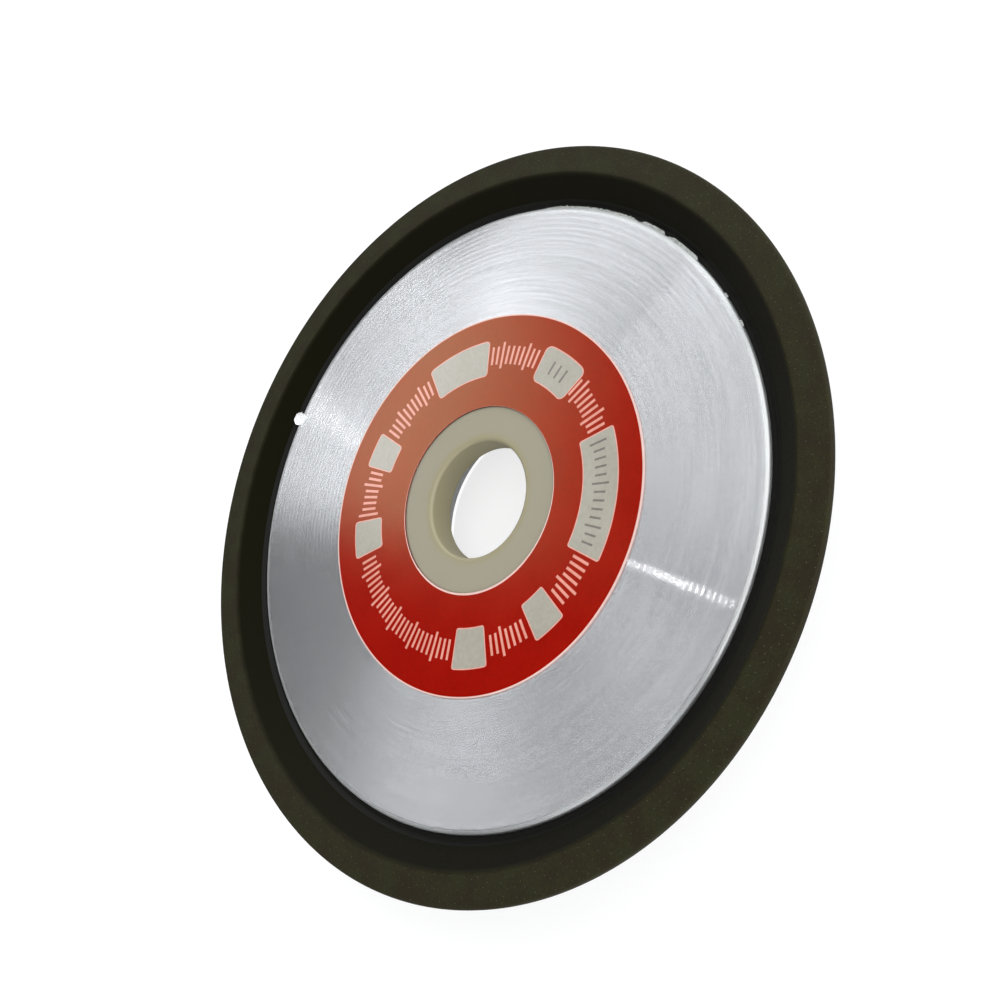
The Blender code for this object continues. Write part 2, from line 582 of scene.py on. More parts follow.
@dataclass(frozen=True)
class Mottled(Finish):
    """A finish whose colour and roughness change together from spot to spot."""

    low: str
    high: str
    roughness: float
    pitch: float  # from spot to spot, in millimetres
    detail: float
    swing: float = 0.2  # of the roughness
    spread: Point = SPREAD  # the noise's values at which the colour begins and ends to change
    relief: float = 0.0  # depth of the grain that a bump stands for, in millimetres
    metallic: float = 0.0
    index: float = 1.5
    specular: float = 0.5

    def sockets(self, tree: Tree, at: TurnedPlace) -> dict[str, object]:
        """Lay one noise under colour, roughness and bump.

        Args:
            tree: The material's tree.
            at: The place on the wheel.

        Returns:
            Each input's name, and the node or value that it takes.
        """
        noise = add(tree, NOISE, {"Vector": at.place, "Scale": 1 / self.pitch, "Detail": self.detail})
        found = {
            "Base Color": two_tone(tree, noise, self.spread, srgb(self.low), srgb(self.high)),
            "Roughness": drifting(tree, noise, self.roughness, self.swing),
            "Metallic": self.metallic,
            "IOR": self.index,
            "Specular IOR Level": self.specular,
        }
        if self.relief:
            feeds = {"Height": noise, "Distance": self.relief * MM, "Strength": 0.6}
            found["Normal"] = add(tree, "ShaderNodeBump", feeds)
        return found


@dataclass(frozen=True)
class TornAluminium(Mottled):
    """Aluminium torn up by the tool at an edge: so rough that it scatters light nearly like paper."""

    name: str = "torn_aluminium"
    low: str = "ABAFAA"
    high: str = "DADCDA"
    roughness: float = 0.85
    pitch: float = 0.35
    detail: float = 3.0
    metallic: float = 1.0


@dataclass(frozen=True)
class BurnishedAluminium(Mottled):
    """Aluminium rubbed bright at a knock: glossy enough to throw a lamp back as a white glint."""

    name: str = "burnished_aluminium"
    low: str = "E2E4E6"
    high: str = "EFF0F1"
    roughness: float = 0.12
    pitch: float = 0.4
    detail: float = 2.0
    swing: float = 0.04
    spread: Point = (-0.25, 1.25)
    metallic: float = 1.0


@dataclass(frozen=True)
class BlackPhenolic(Mottled):
    """Pressed phenolic resin with black filler: a near-black, slightly dusty satin."""

    name: str = "pressed_black_phenolic"
    low: str = "0B0B08"
    high: str = "13130E"
    roughness: float = 0.55
    pitch: float = 0.5  # filler grains, a few tenths of a millimetre
    detail: float = 4.0
    spread: Point = (0.45, 0.75)
    relief: float = 0.02
    specular: float = 0.14  # dust takes most of its gloss


@dataclass(frozen=True)
class DiamondGrit(Mottled):
    """Crushed diamond laid bare by grinding: small greyish green grains with a hard gloss."""

    name: str = "exposed_diamond_grit"
    low: str = "2A2919"
    high: str = "4A4832"
    roughness: float = 0.3
    pitch: float = 0.71429  # about the distance between two grains, so that their tones differ
    detail: float = 1.0
    swing: float = 0.3
    spread: Point = (0.4, 0.75)
    index: float = 2.0  # a rough, resin-smeared crystal, below a clean diamond's 2.4


@dataclass(frozen=True)
class DiamondResin(Finish):
    """Diamond grit in hot-pressed resin: dark olive where it was trued, near black where moulded."""

    name: str = "diamond_resin"
    brown: str = "1D170D"
    olive: str = "20200F"
    skin: str = "0D0C06"
    trued_sheen: str = "FFFAD0"
    moulded_sheen: str = "6C6B49"  # dust in the closed skin takes most of its gloss
    roughness: float = 0.62
    gloss: float = 0.27  # its pores swallow much of the gloss of the resin
    grit_pitch: float = 0.3  # real grit is near 0.1 mm, drawn coarser to show
    mottle_pitch: float = 4.0
    land_edge: Point = (56.95, 58.05)  # radii between which the skin gives way to the trued land
    front: Point = (14.2, 14.8)  # heights between which the skin of the side does

    def sockets(self, tree: Tree, at: TurnedPlace) -> dict[str, object]:
        """Grain and mottle the trued land, and leave the wall a darker, closed skin.

        Args:
            tree: The material's tree.
            at: The place on the wheel.

        Returns:
            Each input's name, and the node or value that it takes.
        """
        fine = add(tree, NOISE, {"Vector": at.place, "Scale": 1 / self.grit_pitch, "Detail": 3.0})
        broad = add(tree, NOISE, {"Vector": at.place, "Scale": 1 / self.mottle_pitch, "Detail": 3.0})
        hue = sums(tree, fine, ("MULTIPLY", 0.4), ("ADD", sums(tree, broad, ("MULTIPLY", 0.6))))
        ground = two_tone(tree, hue, (0.42, 0.58), srgb(self.brown), srgb(self.olive))
        depth = add(tree, RAMP, (fine, 0.3, 0.6, 0.35, 0.0), **EASED)
        grained = add(tree, BLEND, {"Factor": depth, "A": ground, "B": srgb(self.skin)}, data_type="RGBA")
        ragged = sums(tree, drifting(tree, broad, 0.0, 0.2), ("ADD", at.radius))
        trued = add(tree, RAMP, (ragged, *self.land_edge), **EASED)
        top = add(tree, RAMP, (at.height, *self.front), **EASED)
        shown = sums(tree, trued, ("MULTIPLY", top))
        colour = {"Factor": shown, "A": srgb(self.skin), "B": grained}
        sheen = {"Factor": shown, "A": srgb(self.moulded_sheen), "B": srgb(self.trued_sheen)}
        relief = add(tree, RAMP, (shown, 0.0, 1.0, 0.25, 0.7), **EASED)
        bump = {"Height": fine, "Distance": 0.05 * MM, "Strength": relief}
        return {
            "Base Color": add(tree, BLEND, colour, data_type="RGBA"),
            "Specular Tint": add(tree, BLEND, sheen, data_type="RGBA"),
            "Specular IOR Level": self.gloss,
            "Roughness": drifting(tree, fine, self.roughness, 0.2),
            "Normal": add(tree, "ShaderNodeBump", bump),
        }


@dataclass(frozen=True)
class CreamNylon(Finish):
    """Natural nylon turned to size: a soft beige plastic with faint rings and a waxy gloss."""

    name: str = "turned_cream_nylon"
    light: str = "979281"
    warm: str = "958E72"
    roughness: float = 0.425
    ring_pitch: float = 0.4
    ring_depth: float = 0.004
    cloud_pitch: float = 4.0
    warm_edge: Point = (10.2, 12.0)  # radii between which the warmer arbor edge gives way

    def sockets(self, tree: Tree, at: TurnedPlace) -> dict[str, object]:
        """Draw concentric tool marks on a slightly translucent beige.

        Args:
            tree: The material's tree.
            at: The place on the wheel.

        Returns:
            Each input's name, and the node or value that it takes.
        """
        run = sums(tree, at.radius, ("ADD", at.height), ("DIVIDE", self.ring_pitch))
        rings = add(tree, NOISE, {"W": run, "Scale": 1.0, "Detail": 2.0}, noise_dimensions="1D")
        cloud = add(tree, NOISE, {"Vector": at.place, "Scale": 1 / self.cloud_pitch, "Detail": 3.0})
        inward = add(tree, RAMP, (at.radius, *self.warm_edge, 1.0, 0.0), **EASED)
        tint = sums(tree, cloud, ("MULTIPLY", 0.4), ("ADD", inward), ("MINIMUM", 1.0))
        colour = {"Factor": tint, "A": srgb(self.light), "B": srgb(self.warm)}
        bump = {"Height": rings, "Distance": self.ring_depth * MM, "Strength": 0.6}
        return {
            "Base Color": add(tree, BLEND, colour, data_type="RGBA"),
            "Roughness": drifting(tree, rings, self.roughness, 0.15),
            "Normal": add(tree, "ShaderNodeBump", bump),
            "IOR": 1.53,
            "Subsurface Weight": 0.15,
            "Subsurface Scale": 0.6 * MM,
            "Subsurface Radius": (1.0, 0.9, 0.7),
        }


@dataclass(frozen=True)
class PrintedFilm(Finish):
    """Ink under a satin film: one even colour that light washes out where it glances off."""

    ink: str
    shade: str
    bronze: str = "FFFFFF"
    roughness: float = 0.15
    index: float = 1.64  # polyester film
    fleck_pitch: float = 0.8
    wave_pitch: float = 8.3333

    def sockets(self, tree: Tree, at: TurnedPlace) -> dict[str, object]:
        """Leave a trace of unevenness in the ink and in the lie of the film.

        Args:
            tree: The material's tree.
            at: The place on the wheel.

        Returns:
            Each input's name, and the node or value that it takes.
        """
        fleck = add(tree, NOISE, {"Vector": at.place, "Scale": 1 / self.fleck_pitch, "Detail": 3.0})
        wave = add(tree, NOISE, {"Vector": at.place, "Scale": 1 / self.wave_pitch, "Detail": 2.0})
        uneven = sums(tree, fleck, ("ADD", wave), ("MULTIPLY", 0.5))
        bump = {"Height": wave, "Distance": 0.05 * MM, "Strength": 0.4}
        return {
            "Base Color": two_tone(tree, uneven, SPREAD, srgb(self.shade), srgb(self.ink)),
            "Roughness": drifting(tree, wave, self.roughness, 0.06),
            "Normal": add(tree, "ShaderNodeBump", bump),
            "IOR": self.index,
            "Specular Tint": srgb(self.bronze),
        }


class Ink(Enum):
    """The inks and bare parts of the label."""

    # A strong red bronzes: where light glances off, its sheen is greenish gold
    FIELD = PrintedFilm("red_printed_film", "960602", "8E0502", "D6FFAE")
    EDGE = PrintedFilm("cut_film_edge", "E6C2BA", "DEB6AE")
    OUTLINE = PrintedFilm("pink_outline_ink", "E3A597", "DB998B")
    WINDOW = PrintedFilm("bare_film_window", "A8A498", "A09C8F")
    STROKE = PrintedFilm("pink_stroke_ink", "E29A8A", "D88C7C")
    MARK = PrintedFilm("grey_mark_ink", "7D7670", "706963")


# The wheel's pieces


@dataclass(frozen=True)
class WheelSizes:
    """The sizes that the pieces share, in millimetres."""

    radius: float
    thickness: float
    face_height: float
    bore: float = 16.0
    rim_width: float = 5.0
    rim_depth: float = 3.0
    rim_edge: float = 1.0
    wall_slope: float = math.tan(math.radians(40.0))
    back_slope: float = math.tan(math.radians(31.5))
    groove_depth: float = 0.8
    groove_width: float = 0.8
    seat_width: float = 2.3
    fit: float = 0.02  # what is left between pieces that touch on the real wheel

    @classmethod
    def from_frame(cls) -> "WheelSizes":
        """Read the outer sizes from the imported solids."""
        _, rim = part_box("diamond_ring")
        _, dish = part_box("core")
        return cls(rim.x / MM, rim.z / MM, dish.z / MM)

    def wall_radius(self, height: float) -> float:
        """Radius of the rim's sloping inner wall at this height."""
        return self.radius - self.rim_width - (self.thickness - height) / self.wall_slope

    def back_radius(self, height: float) -> float:
        """Radius of the conical back at this height."""
        return self.radius - (self.thickness - self.rim_edge - height) / self.back_slope

    @property
    def groove_height(self) -> float:
        """Height of the floor of the groove beside the face."""
        return self.face_height - self.groove_depth

    @property
    def face_radius(self) -> float:
        """Radius at which the aluminium face ends."""
        return self.wall_radius(self.groove_height) - self.groove_width

    @property
    def seat_height(self) -> float:
        """Height of the shoulder that carries the backing ring."""
        drop = (self.radius - self.face_radius - self.seat_width) * self.back_slope
        return self.thickness - self.rim_edge - drop


def seat(piece: Piece, slot: str, *nodes: str) -> Piece:
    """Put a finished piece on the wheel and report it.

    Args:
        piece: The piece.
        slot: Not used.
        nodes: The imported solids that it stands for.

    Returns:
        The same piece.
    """
    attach(piece, BODY)
    if nodes:
        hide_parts(*nodes)
    log.info("%s: %d faces", piece.name, len(piece.data.polygons))
    return piece


@dataclass
class DishCore:
    """The turned aluminium dish."""

    sizes: WheelSizes
    lathe: Lathe
    steps: int = 256
    chamfer_front: float = 0.02
    chamfer_back: float = 1.0
    back_break: float = 0.12  # rounding of the back chamfer's two edges
    seat_break: float = 0.08
    edge_round: float = 0.45
    edge_fall: Point = (0.65, 0.2)  # the face falls off towards its edge: over how far, and how far
    fall_round: float = 2.0
    hub_round: float = 1.2
    cut_pitch: float = 0.97  # feed of the facing cut, by the rings that show on the face
    cut_depth: float = 0.0087
    cut_change: Point = (0.85, 1.1)  # shares of that depth between which the cuts vary
    cut_margin: float = 0.2  # plain metal inside the first cut
    cut_points: int = 6
    seed: int = 11

    def section(self) -> list[Point]:
        """Draw the dish's section with a scallop for each pass of the tool.

        Returns:
            The closed section.
        """
        s = self.sizes
        length, drop = self.edge_fall
        corners = (
            Corner(s.bore, s.face_height - self.chamfer_front),
            Corner(s.bore + self.chamfer_front, s.face_height, spacing=self.cut_pitch / self.cut_points),
            Corner(s.face_radius - length, s.face_height, self.fall_round),
            Corner(s.face_radius, s.face_height - drop, self.edge_round),
            Corner(s.face_radius, s.seat_height),
            Corner(s.face_radius + s.seat_width, s.seat_height, self.seat_break),
            Corner(s.back_radius(0.0), 0.0, self.hub_round),
            Corner(s.bore + self.chamfer_back, 0.0, self.back_break, spacing=0.7),
            Corner(s.bore, self.chamfer_back, self.back_break, spacing=1.5),
        )
        return self._scalloped(Section(corners).points())

    def _scalloped(self, points: Sequence[Point]) -> list[Point]:
        """Cut the tool's scallops into the front face.

        Args:
            points: The plain section.

        Returns:
            The section with each face point lowered by the scallop that it lies in.
        """
        dice = random.Random(self.seed)
        s = self.sizes
        first = s.bore + self.chamfer_front + self.cut_margin
        last = s.face_radius - 2 * self.edge_fall[0]
        passes = max(0, math.ceil((last - first) / self.cut_pitch))
        depths = [self.cut_depth * dice.uniform(*self.cut_change) for _ in range(passes)]
        cut = []
        for radius, height in points:
            if math.isclose(height, s.face_height, abs_tol=1e-6) and first < radius < last:
                turn, share = divmod((radius - first) / self.cut_pitch, 1.0)
                height -= 4 * depths[int(turn)] * share * (1 - share)
            cut.append((radius, height))
        return cut

    def build(self, finish: Material) -> Piece:
        """Turn the dish and put it in place of its solid."""
        piece = self.lathe.turn("dish_core", self.section(), finish, self.steps)
        return seat(piece, "turned_aluminium", "core")


@dataclass(frozen=True)
class Tear:
    """A stretch of metal torn out of the face's edge, by its two ends, reach and thickness."""

    start: float
    end: float
    inside: float  # how far it starts inside the edge
    reach: float
    drop: float  # its top below the face
    ragged: float
    seed: float
    thickness: float = 0.12


@dataclass
class EdgeBurr:
    """The burr at the edge of the aluminium face: slivers where it tore, and a knock rubbed bright."""

    sizes: WheelSizes
    steps_per_degree: int = 4
    fewest_steps: int = 24
    knock_bearing: float = 87.8
    knock_inside: float = 0.15  # its middle inside the edge of the face
    knock_radius: float = 1.3
    knock_depth: float = 0.55
    knock_lean: float = 12.3  # towards the axis
    knock_corner: float = 0.95  # rounding of its plate's corners, nearly a full circle
    tears: tuple[Tear, ...] = (
        Tear(-12.3, 13.0, 0.25, 0.5, 0.22, 1.8, 2.0),
        Tear(-28.6, -19.4, 0.3, 0.72, 0.3, 0.9, 4.0),
        Tear(-19.2, -12.5, 0.3, 0.75, 0.3, 0.9, 9.0),
        Tear(-38.6, -37.4, 0.3, 0.55, 0.3, 0.9, 6.0),
        Tear(-44.9, -43.4, 0.3, 0.55, 0.3, 0.9, 8.0),
    )

    def build(self, sliver: Tree, plate: Tree, finish: Material, rubbed: Material) -> Piece:
        """Bend each tear along the edge and join them and the knock into one piece.

        Args:
            sliver: The tree that bends a tear.
            plate: The tree that makes a plate with rounded corners.
            finish: The tears' material.
            rubbed: The knock's material.

        Returns:
            The burr.
        """
        parts = []
        for tear in self.tears:
            values = {
                "Steps": max(self.fewest_steps, int((tear.end - tear.start) * self.steps_per_degree)),
                "Start": math.radians(tear.start),
                "End": math.radians(tear.end),
                "Inner": (self.sizes.face_radius - tear.inside) * MM,
                "Reach": tear.reach * MM,
                "Level": (self.sizes.face_height - tear.drop - tear.thickness / 2) * MM,
                "Thickness": tear.thickness * MM,
                "Ragged": tear.ragged,
                "Seed": tear.seed,
            }
            parts.append(grown("tear", sliver, finish, values))
        parts.append(self._knock(plate, rubbed))
        return seat(joined("edge_burr", parts), "turned_aluminium")

    def _knock(self, plate: Tree, finish: Material) -> Piece:
        """Raise a small round flat at the edge, leaning towards the axis.

        Args:
            plate: The tree that makes a plate with rounded corners.
            finish: Its material.

        Returns:
            The flat.
        """
        radius = self.sizes.face_radius - self.knock_inside
        bearing, lean = math.radians(self.knock_bearing), math.radians(self.knock_lean)
        top = self.sizes.face_height + self.knock_radius * math.tan(lean)
        values = {
            "Start": bearing - self.knock_radius / radius,
            "End": bearing + self.knock_radius / radius,
            "Inner": (radius - self.knock_radius) * MM,
            "Outer": (radius + self.knock_radius) * MM,
            "Corner": self.knock_corner * self.knock_radius * MM,
            "Height": self.knock_depth * MM,
            "Level": (top - self.knock_depth) * MM,
        }
        flat = grown("knock", plate, finish, values)
        middle = Vector((radius * math.cos(bearing), radius * math.sin(bearing), top)) * MM
        tangent = Vector((-math.sin(bearing), math.cos(bearing), 0.0))
        tilt = Matrix.Rotation(-lean, 4, tangent)
        flat.data.transform(Matrix.Translation(middle) @ tilt @ Matrix.Translation(-middle))
        return flat


def burr_tree() -> Tree:
    """Build the tree that bends a ragged sliver along the edge of the face.

    Returns:
        The tree.
    """
    names = ("Start", "End", "Inner", "Reach", "Level", "Thickness", "Ragged", "Seed")
    rags_per_radian = 110.0
    curl_height = 0.5 * MM
    tree, given = new_tree("burr_sliver", names, ("Steps",))
    strip = add(tree, "GeometryNodeMeshCube", ((1.0, 1.0, 1.0), given["Steps"], 5, 2))
    at = add(tree, SPLIT_XYZ, (add(tree, POSITION),)).outputs
    along = sums(tree, at["X"], ("ADD", 0.5))
    across = sums(tree, at["Y"], ("ADD", 0.5))
    span = sums(tree, given["End"], ("SUBTRACT", given["Start"]))
    angle = sums(tree, along, ("MULTIPLY", span), ("ADD", given["Start"]))
    spot = add(tree, JOIN_XYZ, (sums(tree, angle, ("MULTIPLY", rags_per_radian)), across, 0.0))
    feeds = {"Vector": spot, "W": given["Seed"], "Scale": 1.0, "Detail": 3.0}
    ragged = sums(tree, add(tree, NOISE, feeds, noise_dimensions="4D"), ("SUBTRACT", 0.5))
    # A sliver starts blunt, over 6 % of its length, and thins over its last quarter
    tail = add(tree, RAMP, (along, 0.75, 1.0, 1.0, 0.25), **EASED)
    head = add(tree, RAMP, (along, 0.0, 0.06, 0.55, 1.0), **EASED)
    ends = sums(tree, head, ("MULTIPLY", tail))
    width = sums(tree, ragged, ("MULTIPLY", given["Ragged"]), ("ADD", 0.95), ("MULTIPLY", ends))
    reach = sums(tree, across, ("MULTIPLY", width), ("MULTIPLY", given["Reach"]))
    radius = sums(tree, reach, ("ADD", given["Inner"]))
    curl = sums(tree, ragged, ("MULTIPLY", across), ("MULTIPLY", given["Ragged"]), ("MULTIPLY", curl_height))
    thick = sums(tree, at["Z"], ("MULTIPLY", given["Thickness"]))
    rise = sums(tree, thick, ("ADD", given["Level"]), ("ADD", curl))
    bent = add(tree, MOVE, {"Geometry": strip, "Position": about_axis(tree, radius, angle, rise)})
    return finish_tree(tree, add(tree, "GeometryNodeFlipFaces", (bent,)), given["Finish"])


@dataclass
class BackingRing:
    """The black ring that carries the diamond layer in the dish's rebate."""

    sizes: WheelSizes
    lathe: Lathe
    steps: int = 300
    edge_break: float = 0.05
    foot_round: float = 0.15

    def section(self) -> list[Point]:
        """Draw the ring's section: a narrow groove floor, then a slope up to the diamond layer."""
        s = self.sizes
        top = s.thickness - s.rim_depth - s.fit
        foot = s.seat_height + s.fit
        inner = s.face_radius + s.fit
        corners = (
            Corner(inner, s.groove_height, self.edge_break, spacing=0.3),
            Corner(s.wall_radius(s.groove_height), s.groove_height, self.foot_round, spacing=0.3),
            Corner(s.wall_radius(top), top, spacing=1.5),
            Corner(s.back_radius(top), top, spacing=0.8),
            Corner(s.back_radius(foot), foot),
            Corner(inner, foot),
        )
        return Section(corners, arc_steps=3).points()

    def build(self, finish: Material) -> Piece:
        """Turn the ring and put it in place of its solid."""
        piece = self.lathe.turn("backing_ring_face", self.section(), finish, self.steps)
        return seat(piece, "black_phenolic", "backing_ring")


@dataclass
class DiamondLayer:
    """The diamond layer: flat land, sloping inner wall, thin edge and slanted underside."""

    sizes: WheelSizes
    lathe: Lathe
    steps: int = 720
    spacing: float = 0.35  # fine enough on its surfaces to carry the grain
    ridge_round: float = 0.5
    land_round: float = 0.35
    edge_break: float = 0.1
    grain: Grain = Grain(0.9, 0.02)
    crease: float = 40.0
    bond_drop: float = 0.02  # how far the bond is worn below the tips of its grains
    grit_size: Point = (0.07, 0.15)  # smallest and largest radius of a grain
    grit_margin: Point = (0.3, 0.45)  # land without grains at its inner and outer edge
    grit_spacing: float = 1.0
    seed: int = 5

    def section(self) -> list[Point]:
        """Draw the layer's section."""
        s = self.sizes
        foot = s.thickness - s.rim_depth
        land = s.thickness - self.bond_drop
        corners = (
            Corner(s.radius - s.rim_width, land, self.ridge_round, self.spacing),
            Corner(s.radius, land, self.land_round, self.spacing),
            Corner(s.radius, s.thickness - s.rim_edge, self.edge_break, spacing=0.5),
            Corner(s.back_radius(foot), foot, spacing=1.5),
            Corner(s.wall_radius(foot), foot, spacing=self.spacing),
        )
        return Section(corners, arc_steps=4).points()

    def build(self, finish: Material) -> Piece:
        """Turn the layer and put it in place of its solid."""
        section = self.section()
        piece = self.lathe.turn("diamond_layer", section, finish, self.steps, self.grain, self.crease)
        return seat(piece, "diamond_resin", "diamond_ring")

    def build_grit(self, scatter: Tree, finish: Material) -> Piece:
        """Set the exposed diamond grains in the land.

        Args:
            scatter: The tree that scatters the grains.
            finish: Their material.

        Returns:
            The grains as one piece.
        """
        s = self.sizes
        values = {
            "Inner": (s.radius - s.rim_width + self.grit_margin[0]) * MM,
            "Outer": (s.radius - self.grit_margin[1]) * MM,
            "Tip level": s.thickness * MM,
            "Spacing": self.grit_spacing * MM,
            "Smallest": self.grit_size[0] * MM,
            "Largest": self.grit_size[1] * MM,
            "Seed": self.seed,
        }
        return seat(grown("diamond_grit", scatter, finish, values), "diamond_resin")


def grit_tree() -> Tree:
    """Build the tree that scatters worn-down grains over a flat ring.

    Returns:
        The tree.
    """
    names = ("Inner", "Outer", "Tip level", "Spacing", "Smallest", "Largest")
    most_per_area = 4e6  # grains to a square metre, before those too close together go
    full_turn = (6.28, 6.28, 6.28)  # about each axis, in radians
    tree, given = new_tree("grit_scatter", names, ("Seed",))
    plate = add(tree, "GeometryNodeMeshCircle", {"Vertices": 256, "Radius": given["Outer"]}, fill_type="NGON")
    seed = given["Seed"]
    feeds = {"Mesh": plate, "Distance Min": given["Spacing"], "Density Max": most_per_area, "Seed": seed}
    spots = add(tree, "GeometryNodeDistributePointsOnFaces", feeds, distribute_method="POISSON")
    reach = out(add(tree, VECTOR_MATH, (add(tree, POSITION),), operation="LENGTH"), "Value")
    inside = add(tree, "FunctionNodeCompare", {"A": reach, "B": given["Inner"]}, operation="LESS_THAN")
    ring = add(tree, "GeometryNodeDeleteGeometry", {"Geometry": spots, "Selection": inside})
    feeds = {"Min": given["Smallest"], "Max": given["Largest"], "Seed": seed}
    size = add(tree, "FunctionNodeRandomValue", feeds)
    sunk = add(tree, JOIN_XYZ, (0.0, 0.0, sums(tree, given["Tip level"], ("SUBTRACT", size))))
    lowered = add(tree, MOVE, {"Geometry": ring, "Offset": sunk})
    chip = add(tree, "GeometryNodeMeshIcoSphere", {"Radius": 1.0, "Subdivisions": 1})
    feeds = {"Min": (0.0, 0.0, 0.0), "Max": full_turn, "Seed": seed}
    spin = add(tree, "FunctionNodeRandomValue", feeds, data_type="FLOAT_VECTOR")
    feeds = {"Points": lowered, "Instance": chip, "Rotation": spin, "Scale": size}
    return finish_tree(tree, add(tree, "GeometryNodeInstanceOnPoints", feeds), given["Finish"])


@dataclass
class ReducingBush:
    """The plastic bush in the bore."""

    sizes: WheelSizes
    lathe: Lathe
    steps: int = 192
    length: float = 5.0
    recess: float = 0.1
    arbor_radius: float = 10.0
    arbor_round: float = 0.6
    outer_round: float = 0.2
    spacing: float = 0.8

    def section(self) -> list[Point]:
        """Draw the bush's section, with its well-rounded arbor edge."""
        s = self.sizes
        front = s.face_height - self.recess
        back = front - self.length
        outer = s.bore - s.fit
        corners = (
            Corner(self.arbor_radius, front, self.arbor_round, self.spacing / 2),
            Corner(outer, front, self.outer_round, self.spacing),
            Corner(outer, back, self.outer_round, self.spacing),
            Corner(self.arbor_radius, back, self.outer_round, self.spacing),
        )
        return Section(corners).points()

    def build(self, finish: Material) -> Piece:
        """Turn the bush and put it in place of its solid."""
        piece = self.lathe.turn("nylon_bush", self.section(), finish, self.steps)
        return seat(piece, "cream_nylon", "reducing_bush")


@dataclass(frozen=True)
class Window:
    """A bare window in the label's red, by its two ends and the rounding of its corners."""

    start: float
    end: float
    corner: float = 0.45


@dataclass(frozen=True)
class Strokes:
    """A run of plain strokes on the label, like part of a scale."""

    ink: Ink
    start: float
    end: float
    pitch: float  # in degrees
    width: float
    inner: float
    outer: float
    longer: float  # how far each fifth stroke reaches past the others at both ends


